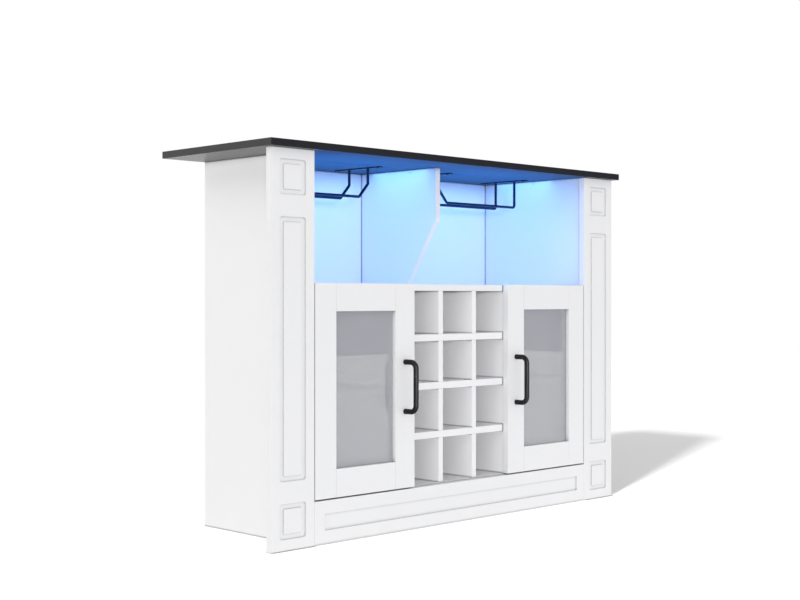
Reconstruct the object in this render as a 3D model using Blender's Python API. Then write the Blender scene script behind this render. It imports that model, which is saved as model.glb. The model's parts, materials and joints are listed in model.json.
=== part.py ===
"""A wine sideboard: two cupboards with glazed doors beside a bottle rack, two open bays above with
racks for stemmed glasses, and a black top. Metres, +Z up, X across the front, which faces -Y."""

import math

import bmesh
import bpy
from mathutils import Matrix, Vector

# Overall sizes, measured from the front plane of the doors, pilasters and plinth
HEIGHT = 0.980
FRONT_WIDTH = 1.330
BODY_DEPTH = 0.424
FIT_GAP = 0.0003

# Top
TOP_THICK = 0.018
TOP_SIDE_OVERHANG = 0.0145
TOP_FRONT_OVERHANG = 0.0183
TOP_BACK_OVERHANG = 0.002

# Boards of the body
BOARD = 0.0165
PLINTH_HEIGHT = 0.1074
PLINTH_THICK = 0.0177
REAR_PLINTH_INSET = 0.030
BOTTOM_TOP = 0.1096
DECK_TOP = 0.639
DECK_THICK = 0.017
BACK_FACE = 0.395
BACK_THICK = 0.006
BACK_GROOVE_DEPTH = 0.006

# Pilasters and their routed fields
PILASTER_WIDTH = 0.135
PILASTER_THICK = 0.018
FIELD_MARGIN = 0.0267
FIELD_END_HEIGHT = 0.085
FIELD_SPACING = 0.053
FIELD_GROOVE_WIDTH = 0.013
FIELD_GROOVE_DEPTH = 0.0035

# Sunk field in the face of the front plinth
PLINTH_FIELD_SIDE = 0.034
PLINTH_FIELD_EDGE = 0.0335
PLINTH_FIELD_DEPTH = 0.004

# Bottle rack
RACK_DOOR_LAP = 0.0043
RACK_FRONT = 0.020
RACK_BOARD = 0.0163
RACK_SHELF_THICK = 0.0177
RACK_SHELF_UNDERSIDES = {"lower": 0.2296, "middle": 0.3601, "upper": 0.4881}

# Divider between the open bays: straight above, then swept back to the deck
DIVIDER_THICK = 0.016
DIVIDER_FRONT = 0.0943
DIVIDER_BEND_HEIGHT = 0.8225
DIVIDER_BEND_RADIUS = 0.020
DIVIDER_BEND_TURN = math.radians(37)
DIVIDER_SWEEP_RADIUS = 0.72
DIVIDER_SWEEP_TURN = math.radians(6.5)
DIVIDER_ARC_STEPS = 8

# Cupboard shelves and the pins that carry them
SHELF_TOP = 0.367
SHELF_FRONT = 0.045
SHELF_END_GAP = 0.001
SHELF_BACK_GAP = 0.003
PIN_SHANK_RADIUS = 0.0025
PIN_HEAD_RADIUS = 0.0035
PIN_SHANK_LENGTH = 0.008
PIN_HEAD_LENGTH = 0.008
PIN_INSET = 0.050

# Doors
DOOR_THICK = 0.018
DOOR_WIDTH = 0.342
DOOR_TOP = 0.640
DOOR_SIDE_GAP = 0.0025
DOOR_BOTTOM_GAP = 0.0032
STILE_WIDTH = 0.069
RAIL_WIDTH = 0.070
REBATE_FRONT = 0.012
REBATE_WIDTH = 0.008
GLASS_THICK = 0.004
GLASS_EDGE_GAP = 0.0006

# Handles and their screws
HANDLE_DIAMETER = 0.0138
HANDLE_SPACING = 0.128
HANDLE_STANDOFF = 0.040
HANDLE_BEND_RADIUS = 0.018
HANDLE_HEIGHT = 0.373
SCREW_RADIUS = 0.002
SCREW_HEAD_RADIUS = 0.004
SCREW_HEAD_LENGTH = 0.0025
SCREW_IN_HANDLE = 0.010
SCREW_HOLE_GAP = 0.0004

# Cup hinges, each turning on one pin inside the cup
HINGE_HEIGHTS = {"lower": 0.205, "upper": 0.545}
HINGE_INSET = 0.020
HINGE_DEPTH = 0.0088
CUP_INSET = 0.0225
CUP_RADIUS = 0.0175
CUP_DEPTH = 0.014
CUP_WALL = 0.0009
CUP_FLANGE_RADIUS = 0.0205
CUP_FLANGE_THICK = 0.0008
HINGE_PIN_RADIUS = 0.0016
HINGE_EYE_RADIUS = 0.0032
ARM_THICK = 0.0024
ARM_HEIGHT = 0.013
ARM_ANGLE = math.radians(36.5)
ARM_REACH = 0.021
ARM_BEND_RADIUS = 0.006
ARM_RETURN_ANGLE = math.radians(165)
ARM_FOOT_THICK = 0.0055
ARM_FOOT_START = 0.044
ARM_FOOT_END = 0.092
ARM_BEND_STEPS = 6
WING_HEIGHT = 0.050
WING_THICK = 0.002
WING_START = 0.055
WING_END = 0.075
DECK_RELIEF_GAP = 0.0015

# Racks for stemmed glasses, hung under the top
STEM_DIVIDER_CLEAR = 0.1235
STEM_SIDE_CLEAR = 0.0495
STEM_BAR_WIDTH = 0.015
STEM_BAR_THICK = 0.003
STEM_BAR_FRONT = 0.177
STEM_BAR_BACK = 0.357
STEM_WIRE_DIAMETER = 0.008
STEM_WIRE_DROP = 0.082
STEM_WIRE_SPACING = 0.076
STEM_WIRES_FORWARD = {"left": 0.001, "right": 0.005}
STEM_WIRE_BEND_RADIUS = 0.008
STEM_SLOPE_ACROSS = 0.033
STEM_SLOPE_HEIGHT = 0.037
STEM_WELD = 0.001

# Light strips let into the underside of the top, and the notch for their lead
STRIP_CENTRE = 0.194
STRIP_WIDTH = 0.010
STRIP_DEPTH = 0.007
STRIP_END_GAP = 0.012
LEAD_NOTCH_HEIGHT = 0.009

# Round faces
ROUND_STEPS = 32
SMALL_ROUND_STEPS = 16
BEND_STEPS = 6
HANDLE_BEVEL_RESOLUTION = 6
WIRE_BEVEL_RESOLUTION = 4
SHARP_ANGLE = math.radians(35)
CUT_PAST = 0.002

# Places worked out from the sizes above
UNDERSIDE = HEIGHT - TOP_THICK
INNER_HALF = FRONT_WIDTH / 2 - PILASTER_WIDTH
BODY_FRONT = PILASTER_THICK + FIT_GAP
DECK_UNDERSIDE = DECK_TOP - DECK_THICK
INSIDE_BACK = BACK_FACE - FIT_GAP
DOOR_BOTTOM = PLINTH_HEIGHT + DOOR_BOTTOM_GAP
DOOR_OUTER = INNER_HALF - DOOR_SIDE_GAP
DOOR_INNER = DOOR_OUTER - DOOR_WIDTH
RACK_HALF = DOOR_INNER + RACK_DOOR_LAP
RACK_CELL = (2 * RACK_HALF - 2 * RACK_BOARD) / 3
RACK_DIVIDER_CENTRE = (RACK_CELL + RACK_BOARD) / 2
RACK_MIDDLE = (RACK_FRONT + INSIDE_BACK) / 2
PARTITION_OUTER = RACK_HALF + BOARD
OPENING_OUTER = DOOR_OUTER - STILE_WIDTH
OPENING_INNER = DOOR_INNER + STILE_WIDTH
OPENING_BOTTOM = DOOR_BOTTOM + RAIL_WIDTH
OPENING_TOP = DOOR_TOP - RAIL_WIDTH
HANDLE_X = DOOR_INNER + STILE_WIDTH / 2
HINGE_X = DOOR_OUTER - HINGE_INSET
CUP_X = DOOR_OUTER - CUP_INSET
STEM_BAR_INNER = DIVIDER_THICK / 2 + STEM_DIVIDER_CLEAR + STEM_BAR_WIDTH / 2
STEM_BAR_OUTER = INNER_HALF - STEM_SIDE_CLEAR - STEM_BAR_WIDTH / 2
TOP_BACK = BODY_DEPTH + TOP_BACK_OVERHANG
HANDLE_REACH = HANDLE_STANDOFF + HANDLE_DIAMETER / 2
CENTRE_SHIFT = (HANDLE_REACH - TOP_BACK) / 2
SIDES = {"left": -1, "right": 1}

for old in list(bpy.data.objects):
    bpy.data.objects.remove(old, do_unlink=True)


def finish(name, colour, roughness, metallic=0.0):
    """One plain material."""
    material = bpy.data.materials.new(name)
    material.use_nodes = True
    shader = material.node_tree.nodes["Principled BSDF"]
    shader.inputs["Base Color"].default_value = (*colour, 1.0)
    shader.inputs["Roughness"].default_value = roughness
    shader.inputs["Metallic"].default_value = metallic
    return material


WHITE = finish("white_melamine", (0.85, 0.85, 0.84), 0.45)
BLACK_TOP = finish("black_laminate", (0.03, 0.03, 0.03), 0.35)
BLACK_METAL = finish("black_metal", (0.02, 0.02, 0.022), 0.4, 0.3)
STEEL = finish("nickel_steel", (0.62, 0.61, 0.59), 0.3, 1.0)
GLASS = finish("grey_glass", (0.42, 0.43, 0.46), 0.08)
BEAD = finish("clear_plastic_bead", (0.75, 0.76, 0.76), 0.4)
LIGHT = finish("blue_light_strip", (0.15, 0.45, 1.0), 0.4)


def empty(name, location, parent=None):
    """A frame that pieces hang from."""
    frame = bpy.data.objects.new(name, None)
    frame.location = location
    frame.parent = parent
    bpy.context.scene.collection.objects.link(frame)
    return frame


BODY = empty("sideboard_body", (0, CENTRE_SHIFT, 0))


def piece(name, shape, material, parent=BODY, smooth=False):
    """Turns a bmesh, drawn from the front plane, into an object centred on itself under its parent."""
    bmesh.ops.remove_doubles(shape, verts=shape.verts, dist=1e-6)
    bmesh.ops.recalc_face_normals(shape, faces=shape.faces)
    low = Vector([min(v.co[i] for v in shape.verts) for i in range(3)])
    high = Vector([max(v.co[i] for v in shape.verts) for i in range(3)])
    centre = (low + high) / 2
    bmesh.ops.translate(shape, verts=shape.verts, vec=-centre)
    mesh = bpy.data.meshes.new(name)
    shape.to_mesh(mesh)
    shape.free()
    mesh.materials.append(material)
    if smooth:
        mesh.shade_smooth()
        mesh.set_sharp_from_angle(angle=SHARP_ANGLE)
    made = bpy.data.objects.new(name, mesh)
    made.parent = parent
    made.location = centre - parent.location if parent is not BODY else centre
    bpy.context.scene.collection.objects.link(made)
    return made


def block(x, y, z):
    """A box between the two values given on each axis."""
    shape = bmesh.new()
    bmesh.ops.create_cube(shape, size=1)
    spans = [sorted(span) for span in (x, y, z)]
    size = Vector([high - low for low, high in spans])
    middle = Vector([(high + low) / 2 for low, high in spans])
    bmesh.ops.scale(shape, verts=shape.verts, vec=size)
    bmesh.ops.translate(shape, verts=shape.verts, vec=middle)
    return shape


def prism(outline, axis, low, high):
    """An outline pushed along an axis. Its points keep the order of the two other axes."""
    shape = bmesh.new()
    others = [i for i in range(3) if i != axis]
    corners = []
    for point in outline:
        place = [0.0, 0.0, 0.0]
        place[axis] = low
        place[others[0]] = point[0]
        place[others[1]] = point[1]
        corners.append(shape.verts.new(place))
    face = shape.faces.new(corners)
    pushed = bmesh.ops.extrude_face_region(shape, geom=[face])["geom"]
    way = Vector([0.0, 0.0, 0.0])
    way[axis] = high - low
    bmesh.ops.translate(shape, verts=[v for v in pushed if isinstance(v, bmesh.types.BMVert)], vec=way)
    return shape


def rod(radius, axis, low, high, centre, steps=SMALL_ROUND_STEPS):
    """A cylinder along an axis, between two values on it; centre gives the two other places."""
    shape = bmesh.new()
    bmesh.ops.create_cone(
        shape, cap_ends=True, segments=steps, radius1=radius, radius2=radius, depth=abs(high - low)
    )
    turn = Vector((0, 0, 1)).rotation_difference(Vector([float(i == axis) for i in range(3)]))
    place = list(centre)
    place.insert(axis, (low + high) / 2)
    bmesh.ops.transform(
        shape, verts=shape.verts, matrix=Matrix.Translation(place) @ turn.to_matrix().to_4x4()
    )
    return shape


def turned(profile, axis_point, steps=ROUND_STEPS):
    """A profile of (radius, y) points turned about a line along Y through axis_point (x, z)."""
    shape = bmesh.new()
    points = [shape.verts.new((radius, y, 0)) for radius, y in profile]
    edges = [shape.edges.new(pair) for pair in zip(points, points[1:])]
    bmesh.ops.spin(
        shape,
        geom=points + edges,
        cent=(0, 0, 0),
        axis=(0, 1, 0),
        angle=2 * math.pi,
        steps=steps,
        use_merge=True,
    )
    bmesh.ops.translate(shape, verts=shape.verts, vec=(axis_point[0], 0, axis_point[1]))
    return shape


def rounded_path(points, radius, steps=BEND_STEPS):
    """The points of a bent bar: straight runs with an arc of the given radius at each corner."""
    corners = [Vector(point) for point in points]
    path = [corners[0]]
    for before, corner, after in zip(corners, corners[1:], corners[2:]):
        to_before = (before - corner).normalized()
        to_after = (after - corner).normalized()
        half = to_before.angle(to_after) / 2
        centre = corner + (to_before + to_after).normalized() * radius / math.sin(half)
        first = corner + to_before * radius / math.tan(half) - centre
        last = corner + to_after * radius / math.tan(half) - centre
        turn = first.rotation_difference(last)
        for step in range(steps + 1):
            part = turn.copy()
            part.angle = turn.angle * step / steps
            path.append(centre + part @ first)
    path.append(corners[-1])
    return path


def tube(path, diameter, resolution):
    """A round bar along a path, with closed ends."""
    curve = bpy.data.curves.new("bar", "CURVE")
    curve.dimensions = "3D"
    curve.bevel_depth = diameter / 2
    curve.bevel_resolution = resolution
    curve.use_fill_caps = True
    spline = curve.splines.new("POLY")
    spline.points.add(len(path) - 1)
    for point, place in zip(spline.points, path):
        point.co = (*place, 1)
    guide = bpy.data.objects.new("bar", curve)
    bpy.context.scene.collection.objects.link(guide)
    mesh = bpy.data.meshes.new_from_object(guide.evaluated_get(bpy.context.evaluated_depsgraph_get()))
    bpy.data.objects.remove(guide, do_unlink=True)
    shape = bmesh.new()
    shape.from_mesh(mesh)
    return shape


def combine(target, shape, operation, label):
    """Cuts a shape from an object, or joins it on, with a hidden helper."""
    helper = piece(f"{target.name}_{label}", shape, target.data.materials[0])
    helper.hide_render = True
    helper.display_type = "WIRE"
    step = target.modifiers.new(label, "BOOLEAN")
    step.operation = operation
    step.object = helper
    return helper


def cut(target, shape, label):
    return combine(target, shape, "DIFFERENCE", label)


def join(target, shape, label):
    return combine(target, shape, "UNION", label)


def mirrored(side, low, high):
    """A span across the front, on the given side of the middle."""
    return (side * low, side * high)


def strip_span():
    return (STRIP_CENTRE - STRIP_WIDTH / 2, STRIP_CENTRE + STRIP_WIDTH / 2)


def make_top():
    half = FRONT_WIDTH / 2 + TOP_SIDE_OVERHANG
    deep = (-TOP_FRONT_OVERHANG, TOP_BACK)
    top = piece("top_slab", block((-half, half), deep, (UNDERSIDE, HEIGHT)), BLACK_TOP)
    groove = (UNDERSIDE - CUT_PAST, UNDERSIDE + STRIP_DEPTH)
    for name, side in SIDES.items():
        across = mirrored(side, DIVIDER_THICK / 2 + STRIP_END_GAP, INNER_HALF - STRIP_END_GAP)
        cut(top, block(across, strip_span(), groove), f"{name}_strip_groove")


def make_light_strip(name, side):
    across = mirrored(
        side, DIVIDER_THICK / 2 + STRIP_END_GAP + FIT_GAP, INNER_HALF - STRIP_END_GAP - FIT_GAP
    )
    front, back = strip_span()
    deep = (UNDERSIDE, UNDERSIDE + STRIP_DEPTH - FIT_GAP)
    piece(f"{name}_light_strip", block(across, (front + FIT_GAP, back - FIT_GAP), deep), LIGHT)


def make_side_panel(name, side):
    across = mirrored(side, INNER_HALF, INNER_HALF + BOARD)
    board = block(across, (BODY_FRONT, BODY_DEPTH), (0, UNDERSIDE - FIT_GAP))
    panel = piece(f"{name}_side_panel", board, WHITE)
    into = mirrored(side, INNER_HALF - CUT_PAST, INNER_HALF + BACK_GROOVE_DEPTH)
    groove = (BACK_FACE - FIT_GAP, BACK_FACE + BACK_THICK + FIT_GAP)
    cut(panel, block(into, groove, (BOTTOM_TOP, UNDERSIDE + CUT_PAST)), "back_groove")
    notch = (UNDERSIDE - LEAD_NOTCH_HEIGHT, UNDERSIDE + CUT_PAST)
    into = mirrored(side, INNER_HALF - CUT_PAST, INNER_HALF + BOARD / 2)
    cut(panel, block(into, strip_span(), notch), "lead_notch")
    for number, y in enumerate(pin_places(), 1):
        cut(panel, pin_hole(side, INNER_HALF, 1, y), f"pin_hole_{number}")


def rounded_rectangle(low, high, radius, steps=BEND_STEPS):
    """Outline of a rectangle with round corners, from two opposite corners (x, z)."""
    outline = []
    corners = ((high[0], high[1]), (low[0], high[1]), (low[0], low[1]), (high[0], low[1]))
    for quarter, (x, z) in enumerate(corners):
        centre_x = x - radius if x == high[0] else x + radius
        centre_z = z - radius if z == high[1] else z + radius
        for step in range(steps + 1):
            angle = (quarter + step / steps) * math.pi / 2
            outline.append((centre_x + radius * math.cos(angle), centre_z + radius * math.sin(angle)))
    return outline


def field_heights():
    """The three routed fields of a pilaster, from the floor up."""
    lower = FIELD_MARGIN + FIELD_END_HEIGHT
    upper = UNDERSIDE - FIELD_MARGIN - FIELD_END_HEIGHT
    return {
        "lower": (FIELD_MARGIN, lower),
        "long": (lower + FIELD_SPACING, upper - FIELD_SPACING),
        "upper": (upper, UNDERSIDE - FIELD_MARGIN),
    }


def make_pilaster(name, side):
    across = mirrored(side, INNER_HALF, FRONT_WIDTH / 2)
    board = block(across, (0, PILASTER_THICK), (0, UNDERSIDE - FIT_GAP))
    panel = piece(f"{name}_pilaster", board, WHITE)
    left, right = sorted(mirrored(side, INNER_HALF + FIELD_MARGIN, FRONT_WIDTH / 2 - FIELD_MARGIN))
    inset = FIELD_GROOVE_WIDTH
    for label, (bottom, top) in field_heights().items():
        outline = rounded_rectangle((left, bottom), (right, top), FIELD_GROOVE_WIDTH / 2)
        ring = cut(panel, prism(outline, 1, -CUT_PAST, FIELD_GROOVE_DEPTH), f"{label}_field_groove")
        island = block(
            (left + inset, right - inset),
            (-2 * CUT_PAST, 2 * FIELD_GROOVE_DEPTH),
            (bottom + inset, top - inset),
        )
        cut(ring, island, "island")


def make_plinths():
    across = (FIT_GAP - INNER_HALF, INNER_HALF - FIT_GAP)
    front = piece("front_plinth", block(across, (0, PLINTH_THICK), (0, PLINTH_HEIGHT)), WHITE)
    edge = INNER_HALF - PLINTH_FIELD_SIDE
    tall = (PLINTH_FIELD_EDGE, PLINTH_HEIGHT - PLINTH_FIELD_EDGE)
    cut(front, block((-edge, edge), (-CUT_PAST, PLINTH_FIELD_DEPTH), tall), "sunk_field")
    back = BODY_DEPTH - REAR_PLINTH_INSET
    under = BOTTOM_TOP - BOARD - FIT_GAP
    piece("rear_plinth", block(across, (back - BOARD, back), (0, under)), WHITE)


def make_bottom_panel():
    across = (FIT_GAP - INNER_HALF, INNER_HALF - FIT_GAP)
    deep = (PLINTH_THICK + FIT_GAP, BODY_DEPTH)
    piece("bottom_panel", block(across, deep, (BOTTOM_TOP - BOARD, BOTTOM_TOP)), WHITE)


def make_deck():
    """The fixed shelf over doors and rack, relieved at its front corners for the turning doors."""
    edge = INNER_HALF - FIT_GAP
    sweep = math.hypot(HINGE_INSET, DOOR_THICK - HINGE_DEPTH)
    relief_back = max(HINGE_DEPTH + sweep + DECK_RELIEF_GAP, RACK_FRONT + DECK_RELIEF_GAP)
    relief_edge = HINGE_X - sweep
    half = [
        (relief_edge, RACK_FRONT),
        (relief_edge, relief_back),
        (edge, relief_back),
        (edge, BODY_DEPTH),
    ]
    outline = half + [(-x, y) for x, y in reversed(half)]
    piece("deck", prism(outline, 2, DECK_UNDERSIDE, DECK_TOP), WHITE)


def make_back_panels():
    edge = INNER_HALF + BACK_GROOVE_DEPTH - FIT_GAP
    deep = (BACK_FACE, BACK_FACE + BACK_THICK)
    lower = (BOTTOM_TOP + FIT_GAP, DECK_UNDERSIDE - FIT_GAP)
    upper = (DECK_TOP + FIT_GAP, UNDERSIDE - FIT_GAP)
    piece("lower_back_panel", block((-edge, edge), deep, lower), WHITE)
    piece("upper_back_panel", block((-edge, edge), deep, upper), WHITE)


def make_partition(name, side):
    across = mirrored(side, RACK_HALF, PARTITION_OUTER)
    tall = (BOTTOM_TOP + FIT_GAP, DECK_UNDERSIDE - FIT_GAP)
    panel = piece(f"{name}_partition", block(across, (RACK_FRONT, INSIDE_BACK), tall), WHITE)
    for number, y in enumerate(pin_places(), 1):
        cut(panel, pin_hole(side, PARTITION_OUTER, -1, y), f"pin_hole_{number}")


def make_rack_divider(name, side):
    """Upright of the bottle rack, slotted from the front where the shelves cross it."""
    bottom = BOTTOM_TOP + FIT_GAP
    top = DECK_UNDERSIDE - FIT_GAP
    slot_end = RACK_MIDDLE + FIT_GAP
    outline = [(INSIDE_BACK, bottom), (RACK_FRONT, bottom)]
    for underside in RACK_SHELF_UNDERSIDES.values():
        low = underside - FIT_GAP
        high = underside + RACK_SHELF_THICK + FIT_GAP
        outline += [(RACK_FRONT, low), (slot_end, low), (slot_end, high), (RACK_FRONT, high)]
    outline += [(RACK_FRONT, top), (INSIDE_BACK, top)]
    centre = side * RACK_DIVIDER_CENTRE
    board = prism(outline, 0, centre - RACK_BOARD / 2, centre + RACK_BOARD / 2)
    piece(f"rack_divider_{name}", board, WHITE)


def make_rack_shelf(name, underside):
    """Shelf of the bottle rack, slotted from the back where the uprights cross it."""
    end = RACK_HALF - FIT_GAP
    outline = [(-end, RACK_FRONT), (end, RACK_FRONT), (end, INSIDE_BACK)]
    for centre in (RACK_DIVIDER_CENTRE, -RACK_DIVIDER_CENTRE):
        right = centre + RACK_BOARD / 2 + FIT_GAP
        left = centre - RACK_BOARD / 2 - FIT_GAP
        outline += [(right, INSIDE_BACK), (right, RACK_MIDDLE)]
        outline += [(left, RACK_MIDDLE), (left, INSIDE_BACK)]
    outline.append((-end, INSIDE_BACK))
    piece(f"rack_shelf_{name}", prism(outline, 2, underside, underside + RACK_SHELF_THICK), WHITE)


def divider_front():
    """Front edge of the bay divider from the top down, as (y, z) points."""
    points = [(DIVIDER_FRONT, UNDERSIDE - FIT_GAP)]
    y = DIVIDER_FRONT + DIVIDER_BEND_RADIUS
    for step in range(DIVIDER_ARC_STEPS + 1):
        turn = DIVIDER_BEND_TURN * step / DIVIDER_ARC_STEPS
        back = y - DIVIDER_BEND_RADIUS * math.cos(turn)
        points.append((back, DIVIDER_BEND_HEIGHT - DIVIDER_BEND_RADIUS * math.sin(turn)))
    bend_y, bend_z = points[-1]
    for step in range(1, DIVIDER_ARC_STEPS + 1):
        turn = DIVIDER_BEND_TURN - DIVIDER_SWEEP_TURN * step / DIVIDER_ARC_STEPS
        back = DIVIDER_SWEEP_RADIUS * (math.cos(turn) - math.cos(DIVIDER_BEND_TURN))
        down = DIVIDER_SWEEP_RADIUS * (math.sin(DIVIDER_BEND_TURN) - math.sin(turn))
        points.append((bend_y + back, bend_z - down))
    bottom = DECK_TOP + FIT_GAP
    last_y, last_z = points[-1]
    slope = math.tan(DIVIDER_BEND_TURN - DIVIDER_SWEEP_TURN)
    points.append((last_y + (last_z - bottom) * slope, bottom))
    return points


def make_upper_divider():
    front, back = strip_span()
    top = UNDERSIDE - FIT_GAP
    notch = UNDERSIDE - LEAD_NOTCH_HEIGHT
    outline = divider_front() + [(INSIDE_BACK, DECK_TOP + FIT_GAP), (INSIDE_BACK, top)]
    outline += [(back, top), (back, notch), (front, notch), (front, top)]
    piece("upper_divider", prism(outline, 0, -DIVIDER_THICK / 2, DIVIDER_THICK / 2), WHITE)


def pin_places():
    return (SHELF_FRONT + PIN_INSET, INSIDE_BACK - PIN_INSET)


def pin_height():
    return SHELF_TOP - BOARD - FIT_GAP - PIN_HEAD_RADIUS


def pin_hole(side, face, way, y):
    """Bore for a shelf pin in a board's face; way is 1 where the board lies outwards of that face."""
    span = mirrored(side, face - way * CUT_PAST, face + way * (PIN_SHANK_LENGTH + FIT_GAP))
    return rod(PIN_SHANK_RADIUS + FIT_GAP, 0, *span, (y, pin_height()))


def make_shelf_pin(name, side, face, way, y):
    """A stepped pin: its shank in the board, its head under the shelf."""
    height = pin_height()
    start = mirrored(side, face + way * PIN_SHANK_LENGTH, face - way * 2 * FIT_GAP)
    head = mirrored(side, face - way * FIT_GAP, face - way * PIN_HEAD_LENGTH)
    pin = piece(name, rod(PIN_HEAD_RADIUS, 0, *head, (y, height)), STEEL, smooth=True)
    join(pin, rod(PIN_SHANK_RADIUS, 0, *start, (y, height)), "shank")


def make_cupboard_shelf(name, side):
    across = mirrored(side, PARTITION_OUTER + SHELF_END_GAP, INNER_HALF - SHELF_END_GAP)
    deep = (SHELF_FRONT, INSIDE_BACK - SHELF_BACK_GAP)
    piece(f"{name}_cupboard_shelf", block(across, deep, (SHELF_TOP - BOARD, SHELF_TOP)), WHITE)
    for place, y in zip(("front", "back"), pin_places()):
        make_shelf_pin(f"{name}_shelf_pin_outer_{place}", side, INNER_HALF, 1, y)
        make_shelf_pin(f"{name}_shelf_pin_inner_{place}", side, PARTITION_OUTER, -1, y)


def make_stem_rack(name, side):
    """Two flat bars under the top with two wires welded across them, sloped at the divider end."""
    top = UNDERSIDE - FIT_GAP
    deep = (STEM_BAR_FRONT, STEM_BAR_BACK)
    tall = (top - STEM_BAR_THICK, top)
    half = STEM_BAR_WIDTH / 2
    inner = block(mirrored(side, STEM_BAR_INNER - half, STEM_BAR_INNER + half), deep, tall)
    outer = block(mirrored(side, STEM_BAR_OUTER - half, STEM_BAR_OUTER + half), deep, tall)
    rack = piece(f"{name}_stem_rack", inner, BLACK_METAL, smooth=True)
    weld = top - STEM_BAR_THICK + STEM_WELD
    low = UNDERSIDE - STEM_WIRE_DROP
    middle = (STEM_BAR_FRONT + STEM_BAR_BACK) / 2 - STEM_WIRES_FORWARD[name]
    for place, way in (("front", -1), ("back", 1)):
        y = middle + way * STEM_WIRE_SPACING / 2
        corners = [
            (side * STEM_BAR_INNER, y, weld),
            (side * STEM_BAR_INNER, y, low + STEM_SLOPE_HEIGHT),
            (side * (STEM_BAR_INNER + STEM_SLOPE_ACROSS), y, low),
            (side * STEM_BAR_OUTER, y, low),
            (side * STEM_BAR_OUTER, y, weld),
        ]
        path = rounded_path(corners, STEM_WIRE_BEND_RADIUS)
        join(rack, tube(path, STEM_WIRE_DIAMETER, WIRE_BEVEL_RESOLUTION), f"{place}_wire")
    join(rack, outer, "outer_bar")


def make_stiles(name, side, door):
    """Uprights of a door, full height, rebated behind for the glass."""
    stiles = {"hinge": (DOOR_OUTER, OPENING_OUTER, 1), "handle": (DOOR_INNER, OPENING_INNER, -1)}
    for place, (edge, opening, way) in stiles.items():
        seat = opening + way * REBATE_WIDTH
        outline = [
            (side * edge, 0),
            (side * opening, 0),
            (side * opening, REBATE_FRONT),
            (side * seat, REBATE_FRONT),
            (side * seat, DOOR_THICK),
            (side * edge, DOOR_THICK),
        ]
        upright = prism(outline, 2, DOOR_BOTTOM, DOOR_TOP)
        stile = piece(f"{name}_door_{place}_stile", upright, WHITE, door)
        if place == "hinge":
            for label, height in HINGE_HEIGHTS.items():
                deep = (DOOR_THICK - CUP_DEPTH, DOOR_THICK + CUT_PAST)
                bore = rod(CUP_RADIUS, 1, *deep, (side * CUP_X, height), ROUND_STEPS)
                cut(stile, bore, f"{label}_cup_bore")
        else:
            for label, height in screw_heights().items():
                through = (-CUT_PAST, DOOR_THICK + CUT_PAST)
                hole = rod(SCREW_RADIUS + SCREW_HOLE_GAP, 1, *through, (side * HANDLE_X, height))
                cut(stile, hole, f"{label}_screw_hole")


def make_rails(name, side, door):
    """Cross rails of a door: flush between the stiles, with tongues into the stiles' rebates behind."""
    face = (OPENING_INNER + FIT_GAP, OPENING_OUTER - FIT_GAP)
    tongue = (OPENING_INNER - REBATE_WIDTH + FIT_GAP, OPENING_OUTER + REBATE_WIDTH - FIT_GAP)
    joint = REBATE_FRONT + FIT_GAP
    outline = [
        (side * face[0], 0),
        (side * face[1], 0),
        (side * face[1], joint),
        (side * tongue[1], joint),
        (side * tongue[1], DOOR_THICK),
        (side * tongue[0], DOOR_THICK),
        (side * tongue[0], joint),
        (side * face[0], joint),
    ]
    rails = {"top": (DOOR_TOP, OPENING_TOP, 1), "bottom": (DOOR_BOTTOM, OPENING_BOTTOM, -1)}
    for place, (edge, opening, way) in rails.items():
        rail = piece(f"{name}_door_{place}_rail", prism(outline, 2, edge, opening), WHITE, door)
        seat = (opening - way * CUT_PAST, opening + way * REBATE_WIDTH)
        wide = mirrored(side, tongue[0] - CUT_PAST, tongue[1] + CUT_PAST)
        cut(rail, block(wide, (REBATE_FRONT, DOOR_THICK + CUT_PAST), seat), "glass_rebate")


def make_glazing(name, side, door):
    """The pane in the rebate and the bead that holds it from behind."""
    grow = REBATE_WIDTH - GLASS_EDGE_GAP
    across = mirrored(side, OPENING_INNER - grow, OPENING_OUTER + grow)
    tall = (OPENING_BOTTOM - grow, OPENING_TOP + grow)
    pane_front = REBATE_FRONT + FIT_GAP
    pane_back = pane_front + GLASS_THICK
    piece(f"{name}_door_glass", block(across, (pane_front, pane_back), tall), GLASS, door)
    strip = block(across, (pane_back + FIT_GAP, DOOR_THICK), tall)
    bead = piece(f"{name}_door_glass_bead", strip, BEAD, door)
    clear = block(
        mirrored(side, OPENING_INNER, OPENING_OUTER),
        (REBATE_FRONT, DOOR_THICK + CUT_PAST),
        (OPENING_BOTTOM, OPENING_TOP),
    )
    cut(bead, clear, "opening")


def screw_heights():
    return {"lower": HANDLE_HEIGHT - HANDLE_SPACING / 2, "upper": HANDLE_HEIGHT + HANDLE_SPACING / 2}


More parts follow.
